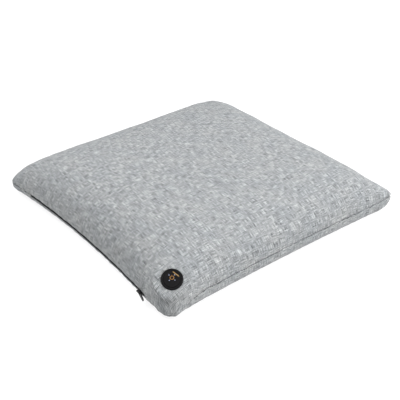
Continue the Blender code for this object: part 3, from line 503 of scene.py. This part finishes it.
def rolled_rings(edge, u, v, side):
    """Rings of points that roll the cloth's edge in beside the seam."""
    radius = roll_radius(u, v)
    rings = []
    for angle in ROLL_ANGLES:
        turn = math.radians(angle)
        inset = radius * (1 - math.cos(turn))
        rings.append((inset, -side * radius * math.sin(turn)))
    closing = (slot_gap(u, v) - STITCH_GAP) * (1 - slot_share(u, v))
    rings.append((radius + STITCH_DEPTH / 2, -side * radius))
    rings.append((radius + STITCH_DEPTH, -side * (radius + closing)))
    x0, y0 = plan(u, v, 0.0)
    made = []
    for inset, drop in rings:
        x, y = plan(u, v, inset)
        made.append(np.stack([edge[:, 0] + x - x0, edge[:, 1] + y - y0, edge[:, 2] + drop], -1))
    return made


def make_cover():
    """Both woven panels."""
    lines = grid_lines(GRID)
    u, v = np.meshgrid(lines, lines, indexing="ij")
    top = top_surface(u, v)
    base = base_surface(u, v)
    coarse, upper, under = settle_cover()
    top = top + smoothed(resampled(kept_wrinkles(upper, TOP_WRINKLE), coarse, lines),
                         SMOOTH_PASSES)
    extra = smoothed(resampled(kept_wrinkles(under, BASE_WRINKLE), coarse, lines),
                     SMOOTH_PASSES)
    lifted = ease(base[..., 2] / BASE_LIFT)
    base = base + extra * lifted[..., None]
    base[..., 2] = np.maximum(base[..., 2], 0.0)
    top = clear_of(under_controller(pucker(top, u, v)), "wadding_layer")
    base = pucker(base[:, ::-1], u[:, ::-1], v[:, ::-1])
    base = clear_of(base, "base_foam_slab")[:, ::-1]
    base[..., 2] = np.maximum(base[..., 2], 0.0)
    ring = border_of(GRID)
    ru, rv = u.ravel()[ring], v.ravel()[ring]
    cover_top = cloth_object("cover_top_cloth", top,
                             rolled_rings(top.reshape(-1, 3)[ring], ru, rv, 1), True)
    cover_base = cloth_object("cover_bottom_cloth", base,
                              rolled_rings(base.reshape(-1, 3)[ring], ru, rv, -1), False)
    cut_controller_hole(cover_top)
    return cover_top, cover_base


def cut_controller_hole(piece):
    """Cut the round hole that the controller is clamped in."""
    mesh = piece.data
    normal = np.array(CONTROL_NORMAL)
    co = np.zeros(len(mesh.vertices) * 3)
    mesh.vertices.foreach_get("co", co)
    co = co.reshape(-1, 3)
    offset = co - np.array(CONTROL)
    height = offset @ normal
    flat = offset - height[:, None] * normal
    reach = np.linalg.norm(flat, axis=1)
    near = (np.abs(height) < HOLE_DEPTH) & (reach < HOLE_REACH)
    gone, kept = [], []
    for face in mesh.polygons:
        index = list(face.vertices)
        inside = near[index].all() and np.linalg.norm(flat[index].mean(0)) < HOLE_RADIUS
        (gone if inside else kept).append(face.index)
    rim = ({k for f in gone for k in mesh.polygons[f].vertices}
           & {k for f in kept for k in mesh.polygons[f].vertices})
    for k in rim:
        place = co[k] + flat[k] * (HOLE_RADIUS / reach[k] - 1)
        mesh.vertices[k].co = place
    bm = bmesh.new()
    bm.from_mesh(mesh)
    bm.faces.ensure_lookup_table()
    bmesh.ops.delete(bm, geom=[bm.faces[f] for f in gone], context="FACES")
    bm.to_mesh(mesh)
    bm.free()


# ---------------------------------------------------------------- materials

class Surface:
    """A node material built step by step."""

    def __init__(self, name, roughness=0.5, metallic=0.0):
        self.material = bpy.data.materials.new(name)
        self.material.use_nodes = True
        self.tree = self.material.node_tree
        self.shader = self.tree.nodes["Principled BSDF"]
        self.shader.inputs["Roughness"].default_value = roughness
        self.shader.inputs["Metallic"].default_value = metallic

    def node(self, kind, **settings):
        """A new node with its settings."""
        made = self.tree.nodes.new(kind)
        for key, value in settings.items():
            setattr(made, key, value)
        return made

    def feed(self, made, socket, value):
        """Set an input, or link it to another node's output."""
        if isinstance(value, bpy.types.NodeSocket):
            self.tree.links.new(value, made.inputs[socket])
        else:
            made.inputs[socket].default_value = value

    def math(self, operation, a, b=0.0, c=0.0):
        """One sum."""
        made = self.node("ShaderNodeMath", operation=operation)
        for k, value in enumerate((a, b, c)):
            self.feed(made, k, value)
        return made.outputs[0]

    def scaled(self, vector, scale):
        """A vector stretched by a scale."""
        made = self.node("ShaderNodeMapping")
        self.feed(made, "Vector", vector)
        made.inputs["Scale"].default_value = scale
        return made.outputs[0]

    def noise(self, vector, scale=1.0, detail=2.0, rough=0.5):
        """Noise from 0 to 1."""
        made = self.node("ShaderNodeTexNoise")
        self.feed(made, "Vector", vector)
        made.inputs["Scale"].default_value = scale
        made.inputs["Detail"].default_value = detail
        made.inputs["Roughness"].default_value = rough
        return made.outputs["Fac"]

    def ramp(self, value, *stops):
        """A colour ramp: (place, colour) stops."""
        made = self.node("ShaderNodeValToRGB")
        self.feed(made, 0, value)
        while len(made.color_ramp.elements) < len(stops):
            made.color_ramp.elements.new(0.5)
        for element, (place, colour) in zip(made.color_ramp.elements, stops):
            element.position = place
            element.color = (*colour, 1.0)
        return made.outputs[0]

    def mix(self, share, a, b, mode="MIX"):
        """Mix two colours."""
        made = self.node("ShaderNodeMix", data_type="RGBA", blend_type=mode)
        self.feed(made, 0, share)
        for socket, value in ((6, a), (7, b)):
            if isinstance(value, tuple):
                value = (*value, 1.0)
            self.feed(made, socket, value)
        return made.outputs[2]

    def bump(self, height, strength, distance):
        """Relief on the surface."""
        made = self.node("ShaderNodeBump")
        self.feed(made, "Height", height)
        made.inputs["Strength"].default_value = strength
        made.inputs["Distance"].default_value = distance
        self.tree.links.new(made.outputs[0], self.shader.inputs["Normal"])

    def colour(self, value):
        """The base colour."""
        if isinstance(value, tuple):
            value = (*value, 1.0)
        self.feed(self.shader, "Base Color", value)

    def object_space(self):
        """Coordinates in metres."""
        return self.node("ShaderNodeTexCoord").outputs["Object"]

    def cloth_space(self):
        """Coordinates along the cloth's threads, in metres."""
        return self.node("ShaderNodeUVMap", uv_map="cloth").outputs[0]


THREAD = 0.68 * MM              # from one thread to the next
SLUB = 0.06                     # a slub's thickness as a share of its length
SLUB_SHARE = 0.25
SLUB_CONTRAST = 9.0             # makes the few strongest slubs stand out
YARN_SHARE = 0.12
FLECK_SHARE = 0.18
FLECK_SIZE = 0.8                # flecks per thread
BROAD_PER_METRE = 31            # the slow change of tone across the cloth
PICK_SHARPNESS = 2.2            # how sharply warp gives way to weft
TONE_SPREAD = 0.19              # the level's swing from the mid tone to dark or light


def melange_weave(name, dark, mid, light):
    """Plain weave of heathered yarn with slubs both ways."""
    s = Surface(name, roughness=0.92)
    place = s.cloth_space()
    per = 1 / THREAD
    warp = s.noise(s.scaled(place, (per, per * SLUB, 1)), 1.0, 1.0, 0.5)
    weft = s.noise(s.scaled(place, (per * SLUB, per, 1)), 1.0, 1.0, 0.5)
    flecks = per * FLECK_SIZE
    fleck = s.noise(s.scaled(place, (flecks, flecks, 1)), 1.0, 2.0, 0.6)
    broad = s.noise(s.scaled(place, (BROAD_PER_METRE, BROAD_PER_METRE, 1)), 1.0, 3.0, 0.55)
    split = s.node("ShaderNodeSeparateXYZ")
    s.feed(split, 0, place)
    across = s.math("SINE", s.math("MULTIPLY", split.outputs[0], math.pi * per))
    along = s.math("SINE", s.math("MULTIPLY", split.outputs[1], math.pi * per))
    over = s.math("MULTIPLY", across, along)
    pick = s.math("MULTIPLY_ADD", over, PICK_SHARPNESS, 0.5)
    pick.node.use_clamp = True
    yarn = s.node("ShaderNodeMix", data_type="FLOAT")
    s.feed(yarn, 0, pick)
    s.feed(yarn, 2, warp)
    s.feed(yarn, 3, weft)
    level = s.math("MULTIPLY_ADD", yarn.outputs[0], YARN_SHARE,
                   s.math("MULTIPLY", fleck, FLECK_SHARE))
    for slub in (warp, weft):
        level = s.math("MULTIPLY_ADD", slub, SLUB_SHARE, level)
        swing = s.math("SUBTRACT", slub, 0.5)
        cube = s.math("MULTIPLY", s.math("MULTIPLY", swing, swing), swing)
        level = s.math("MULTIPLY_ADD", cube, SLUB_CONTRAST, level)
    middle = (YARN_SHARE + FLECK_SHARE) / 2 + SLUB_SHARE
    tone = s.ramp(level, (middle - TONE_SPREAD, dark), (middle, mid),
                  (middle + TONE_SPREAD, light))
    shade = s.ramp(broad, (0.36, (0.88, 0.90, 0.91)), (0.64, (1.0, 1.0, 0.99)))
    s.colour(s.mix(1.0, tone, shade, "MULTIPLY"))
    lift = s.math("ADD", s.math("ABSOLUTE", over), s.math("MULTIPLY", level, 1.3))
    s.bump(lift, 0.45, 0.3 * MM)
    s.shader.inputs["Sheen Weight"].default_value = 0.12
    s.shader.inputs["Sheen Roughness"].default_value = 0.5
    return s.material


def moulded(name, colour, roughness, grain=0.05, scale=2600.0, metallic=0.0, shine=0.5):
    """Moulded plastic or painted metal with a fine grain."""
    s = Surface(name, roughness, metallic)
    s.shader.inputs["Specular IOR Level"].default_value = shine
    fine = s.noise(s.object_space(), scale, 2.0, 0.5)
    broad = s.noise(s.object_space(), 120.0, 2.0, 0.5)
    low = tuple(c * 0.85 for c in colour)
    high = tuple(min(1.0, c * 1.12) for c in colour)
    s.colour(s.ramp(broad, (0.3, low), (0.7, high)))
    rough = s.math("MULTIPLY_ADD", fine, 0.16, roughness - 0.08)
    s.feed(s.shader, "Roughness", rough)
    s.bump(fine, grain, 0.05 * MM)
    return s.material


def fibrous(name, colour, scale, contrast=0.25):
    """Felt, wadding or foam: a soft matt surface of tiny fibres or cells."""
    s = Surface(name, 1.0)
    fine = s.noise(s.object_space(), scale, 4.0, 0.7)
    low = tuple(c * (1 - contrast) for c in colour)
    s.colour(s.ramp(fine, (0.35, low), (0.65, colour)))
    s.bump(fine, 0.6, 0.4 * MM)
    return s.material


def black_tape(name):
    """Black woven zip tape."""
    s = Surface(name, 0.9)
    place = s.object_space()
    rib = s.noise(s.scaled(place, (3000, 400, 3000)), 1.0, 2.0, 0.5)
    s.shader.inputs["Specular IOR Level"].default_value = 0.1
    s.colour(s.ramp(rib, (0.35, (0.003, 0.003, 0.0035)), (0.65, (0.012, 0.012, 0.013))))
    s.bump(rib, 0.4, 0.1 * MM)
    return s.material


def lit_guide(name, colour, glow):
    """A light guide that shows as a small printed mark."""
    s = Surface(name, 0.4)
    fine = s.noise(s.object_space(), 1500.0, 2.0, 0.5)
    low = tuple(c * 0.7 for c in colour)
    s.colour(s.ramp(fine, (0.35, low), (0.6, colour)))
    s.shader.inputs["Emission Color"].default_value = (*colour, 1.0)
    s.shader.inputs["Emission Strength"].default_value = glow
    return s.material


def dress(node, surface):
    """Give a CAD node its material."""
    mesh = frame["nodes"][node].data
    mesh.materials.clear()
    mesh.materials.append(surface)


def dress_cad_nodes():
    """Materials of the CAD nodes that stay."""
    plastic = moulded("control_plastic", (0.012, 0.011, 0.013), 0.48)
    dress("control_bezel",
          moulded("bezel_plastic", (0.006, 0.0055, 0.006), 0.5, shine=0.14))
    dress("control_button_cap",
          moulded("cap_plastic", (0.006, 0.0055, 0.006), 0.6, shine=0.10))
    dress("control_rear_shell", plastic)
    dress("power_light_guide", lit_guide("amber_guide", (0.36, 0.17, 0.035), 0.0))
    dress("level_light_guide", lit_guide("clear_guide", (0.40, 0.44, 0.60), 0.12))
    dress("control_switch_plunger", moulded("plunger_plastic", (0.75, 0.75, 0.72), 0.5))
    dress("power_led", lit_guide("led_resin", (0.85, 0.55, 0.2), 0.2))
    dress("wadding_layer", fibrous("wadding_fibre", (0.84, 0.84, 0.82), 900.0))
    felt = fibrous("heater_felt", (0.78, 0.78, 0.75), 2200.0, 0.15)
    dress("heater_felt_upper", felt)
    dress("heater_felt_lower", felt)
    dress("heat_reflector_foil", moulded("foil", (0.8, 0.8, 0.82), 0.28, 0.5, 300.0, 1.0))
    dress("comfort_foam_slab", fibrous("comfort_foam", (0.86, 0.78, 0.55), 1400.0))
    dress("base_foam_slab", fibrous("base_foam", (0.16, 0.165, 0.18), 2000.0))
    dress("heater_wire", moulded("silicone_red", (0.55, 0.04, 0.03), 0.55))
    dress("heater_joint", moulded("splice_black", (0.02, 0.02, 0.02), 0.5))
    dress("heater_thermostat", moulded("thermostat_cream", (0.72, 0.70, 0.64), 0.45))
    for lead in ("heater_lead", "battery_lead"):
        dress(lead, moulded(lead + "_rubber", (0.015, 0.015, 0.015), 0.6))
    dress("battery_sleeve", black_tape("sleeve_cloth"))
    for half in ("battery_case_lower", "battery_case_upper"):
        dress(half, moulded(half + "_abs", (0.03, 0.03, 0.034), 0.45))
    for cell in ("battery_cell_inner", "battery_cell_outer"):
        dress(cell, moulded(cell + "_wrap", (0.06, 0.16, 0.42), 0.35))
    for board in ("battery_circuit_board", "control_circuit_board"):
        dress(board, moulded(board + "_mask", (0.02, 0.18, 0.06), 0.35, 0.3, 900.0))
    steel = moulded("plated_steel", (0.62, 0.62, 0.64), 0.3, 0.1, 1500.0, 1.0)
    for metal in ("battery_output_socket", "control_switch_body", "control_screw_left",
                  "control_screw_right"):
        dress(metal, steel)
    dress("power_plug", moulded("plug_plastic", (0.02, 0.02, 0.02), 0.5))
    dress("zip_tape_upper", black_tape("tape_upper_black"))
    dress("zip_tape_lower", black_tape("tape_lower_black"))
    dress("zip_near_stop", moulded("stop_near_black", (0.012, 0.012, 0.012), 0.4))
    dress("zip_far_stop", moulded("stop_far_black", (0.012, 0.012, 0.012), 0.4))


# ---------------------------------------------------------------- zip

ZIP_MIDDLE_Y = -5.5 * MM
ZIP_AXIS = Vector(joints["zip_slide"]["axis"])


def zip_point(along, outward, up):
    """Point beside the zip: along it, out of the pad and up."""
    turn = (along + ZIP_MIDDLE_Y - ZIP_CENTRE.y) / ZIP_RADIUS
    radius = ZIP_RADIUS - outward
    flat = Vector((radius * math.cos(turn), radius * math.sin(turn), up))
    lean = Vector((0, 0, 1)).rotation_difference(ZIP_AXIS)
    return ZIP_CENTRE + lean @ flat


COIL_HALF = 0.1385
COIL_PITCH = 1.45 * MM
COIL_STEPS = 10                 # points on the path in each turn
COIL_SIDES = 6                  # sides of the wire
COIL_WIRE = 0.25 * MM           # the wire's radius
COIL_OUT = -0.45 * MM           # the coil's middle, out of the pad from the zip's arc
COIL_UP = 0.98 * MM             # the coil's middle, up or down from the zip's arc
COIL_WIDE = 0.62 * MM           # half the oval's width
COIL_HIGH = 0.36 * MM           # half the oval's height


def make_coil(name, side, surface):
    """One nylon coil: a fine oval helix along the tape's edge."""
    turns = int(2 * COIL_HALF / COIL_PITCH)
    count = turns * COIL_STEPS
    sides = COIL_SIDES
    path = []
    for k in range(count + 1):
        angle = TAU * k / COIL_STEPS
        along = -COIL_HALF + 2 * COIL_HALF * k / count
        outward = COIL_OUT + COIL_WIDE * math.cos(angle)
        path.append(zip_point(along, outward, side * (COIL_UP + COIL_HIGH * math.sin(angle))))
    verts, faces = [], []
    hold = Vector((0, 0, 1))
    for k, point in enumerate(path):
        ahead = (path[min(k + 1, count)] - path[max(k - 1, 0)]).normalized()
        hold = (hold - ahead * hold.dot(ahead)).normalized()
        other = ahead.cross(hold)
        for m in range(sides):
            turn = TAU * m / sides
            out = hold * math.cos(turn) + other * math.sin(turn)
            verts.append(tuple(point + out * COIL_WIRE))
    for k in range(count):
        for m in range(sides):
            n = (m + 1) % sides
            a = k * sides
            faces.append((a + m, a + n, a + sides + n, a + sides + m))
    faces.append(tuple(range(sides)))
    faces.append(tuple(range(len(verts) - 1, len(verts) - 1 - sides, -1)))
    piece = build_mesh(name, verts, faces)
    piece.data.materials.append(surface)
    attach(piece, "pad")
    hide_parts(name.replace("_wound", ""))


WELD_REACH = 0.01 * MM
FLAT_ANGLE = math.radians(2)    # faces within this angle count as one flat face
EDGE_ANGLE = math.radians(30)   # edges sharper than this are rounded
SHARP_ANGLE = math.radians(40)  # edges sharper than this stay sharp in the shading


def softened(node, name, body, surface, width):
    """A CAD node's own shape with its edges rounded off."""
    mesh = frame["nodes"][node].data.copy()
    piece = bpy.data.objects.new(name, mesh)
    bpy.context.scene.collection.objects.link(piece)
    weld = piece.modifiers.new("weld", "WELD")
    weld.merge_threshold = WELD_REACH
    flatten = piece.modifiers.new("flat", "DECIMATE")
    flatten.decimate_type = "DISSOLVE"
    flatten.angle_limit = FLAT_ANGLE
    edge = piece.modifiers.new("edge", "BEVEL")
    edge.width = width
    edge.segments = 3
    edge.limit_method = "ANGLE"
    edge.angle_limit = EDGE_ANGLE
    done = piece.evaluated_get(bpy.context.evaluated_depsgraph_get())
    fresh = bpy.data.meshes.new_from_object(done)
    piece.modifiers.clear()
    piece.data = fresh
    fresh.materials.clear()
    fresh.materials.append(surface)
    fresh.shade_smooth()
    fresh.set_sharp_from_angle(angle=SHARP_ANGLE)
    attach(piece, body)
    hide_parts(node)


def make_zip():
    """Coils, slider and pull."""
    nylon = moulded("nylon_black", (0.006, 0.006, 0.0065), 0.4, shine=0.15)
    make_coil("zip_coil_upper_wound", 1, nylon)
    make_coil("zip_coil_lower_wound", -1, nylon)
    enamel = moulded("slider_enamel", (0.006, 0.006, 0.0065), 0.4, 0.08, 1800.0, shine=0.2)
    softened("zip_slider_body", "zip_slider_cast", "zip_slider", enamel,
             0.22 * MM)
    softened("zip_pull_tab", "zip_pull_cast", "zip_pull", enamel, 0.2 * MM)


# ---------------------------------------------------------------- controller

BAR_LENGTH = 9.6 * MM
BAR_WIDTH = 1.15 * MM
BAR_THICKNESS = 0.1 * MM        # half of it is sunk in the cap
BAR_MIDDLE = Vector((5.1 * MM, 6.3 * MM, 0))
BAR_TURN = math.radians(-42)
BAR_STEPS = 8                   # sides of each round end


def make_print_bar():
    """A plain amber bar printed on the cap, in place of any wording."""
    round_end = BAR_WIDTH / 2
    straight_half = BAR_LENGTH / 2 - round_end
    outline = []
    for end in (1, -1):
        for k in range(BAR_STEPS + 1):
            angle = math.pi * (k / BAR_STEPS - end / 2)
            outline.append(Vector((end * straight_half + round_end * math.cos(angle),
                                   round_end * math.sin(angle), 0)))
    matrix = control_matrix()
    turn = Matrix.Rotation(BAR_TURN, 3, "Z")
    verts = []
    for level in (CAP_TOP - BAR_THICKNESS / 2, CAP_TOP + BAR_THICKNESS / 2):
        lift = Vector((0, 0, level))
        verts += [tuple(matrix @ (BAR_MIDDLE + turn @ point + lift)) for point in outline]
    count = len(outline)
    faces = [tuple(range(count - 1, -1, -1)), tuple(range(count, 2 * count))]
    for k in range(count):
        m = (k + 1) % count
        faces.append((k, m, m + count, k + count))
    piece = build_mesh("control_print_bar", verts, faces)
    piece.data.set_sharp_from_angle(angle=SHARP_ANGLE)
    piece.data.materials.append(lit_guide("amber_print", (0.36, 0.22, 0.07), 0.0))
    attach(piece, "button")


# ---------------------------------------------------------------- stage

FLOOR_HALF = 6.0
FLOOR_LEVEL = -0.2 * MM
FLOOR_GLOW = 0.85               # keeps the floor white round the pad
LIGHT_COLOUR = (0.98, 0.99, 1.0)
LIGHT_SIZE = 1.3
LIGHT_DISTANCE = 2.3
LIGHT_AIM = Vector((0, 0, 0.03))
LIGHTS = (("key", 45, 55, 40), ("face", 30, 22, 27), ("front", 0, 55, 8),
          ("side", 135, 55, 3), ("fill", 225, 55, 44))  # azimuth, elevation, watts
WORLD_STRENGTH = 0.1


def make_stage():
    """Pale floor, soft lights and the camera."""
    floor_mesh = bpy.data.meshes.new("floor")
    corners = [(x * FLOOR_HALF, y * FLOOR_HALF, FLOOR_LEVEL)
               for x, y in ((-1, -1), (1, -1), (1, 1), (-1, 1))]
    floor_mesh.from_pydata(corners, [], [(0, 1, 2, 3)])
    floor = bpy.data.objects.new("floor", floor_mesh)
    bpy.context.scene.collection.objects.link(floor)
    pale = Surface("pale_floor", 0.9)
    pale.colour((0.20, 0.20, 0.20))
    pale.shader.inputs["Emission Color"].default_value = (1, 1, 1, 1)
    pale.shader.inputs["Emission Strength"].default_value = FLOOR_GLOW
    floor_mesh.materials.append(pale.material)
    world = bpy.data.worlds.new("studio")
    world.use_nodes = True
    background = world.node_tree.nodes["Background"]
    background.inputs["Color"].default_value = (*LIGHT_COLOUR, 1)
    background.inputs["Strength"].default_value = WORLD_STRENGTH
    bpy.context.scene.world = world
    for name, azimuth, elevation, watts in LIGHTS:
        area_light(name, azimuth, elevation, watts)
    bpy.context.scene.view_settings.view_transform = "Standard"
    make_camera()


def direction(azimuth, elevation):
    """Unit vector towards a place round the pad: azimuth from -Y towards +X, in degrees."""
    a, e = math.radians(azimuth), math.radians(elevation)
    return Vector((math.sin(a) * math.cos(e), -math.cos(a) * math.cos(e), math.sin(e)))


def area_light(name, azimuth, elevation, watts):
    """A soft square light aimed at the pad."""
    lamp = bpy.data.lights.new(name, "AREA")
    lamp.energy = watts
    lamp.size = LIGHT_SIZE
    lamp.color = LIGHT_COLOUR
    item = bpy.data.objects.new(name, lamp)
    item.location = direction(azimuth, elevation) * LIGHT_DISTANCE
    aim = LIGHT_AIM - item.location
    item.rotation_euler = aim.to_track_quat("-Z", "Y").to_euler()
    bpy.context.scene.collection.objects.link(item)


def make_camera():
    """The camera, looking down on the corner with the controller."""
    back = direction(AZIMUTH, ELEVATION)
    across = math.radians(AZIMUTH)
    right = Vector((math.cos(across), math.sin(across), 0))
    up = back.cross(right)
    matrix = Matrix((right, up, back)).transposed().to_4x4()
    matrix.translation = back * DISTANCE + right * SHIFT_RIGHT + up * SHIFT_UP
    data = bpy.data.cameras.new("camera")
    data.lens = LENS
    data.sensor_width = SENSOR
    data.clip_start = 0.01
    data.clip_end = 50
    camera = bpy.data.objects.new("camera", data)
    camera.matrix_world = matrix @ Matrix.Rotation(math.radians(ROLL), 4, "Z")
    bpy.context.scene.collection.objects.link(camera)
    bpy.context.scene.camera = camera


make_stage()
top_cloth, bottom_cloth = make_cover()
weave = melange_weave("cover_weave", (0.045, 0.05, 0.057), (0.28, 0.286, 0.29),
                      (0.66, 0.668, 0.67))
for cloth, replaced in ((top_cloth, "cover_top_panel"), (bottom_cloth, "cover_bottom_panel")):
    cloth.data.materials.append(weave)
    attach(cloth, "pad")
    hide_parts(replaced)
dress_cad_nodes()
make_zip()
make_print_bar()
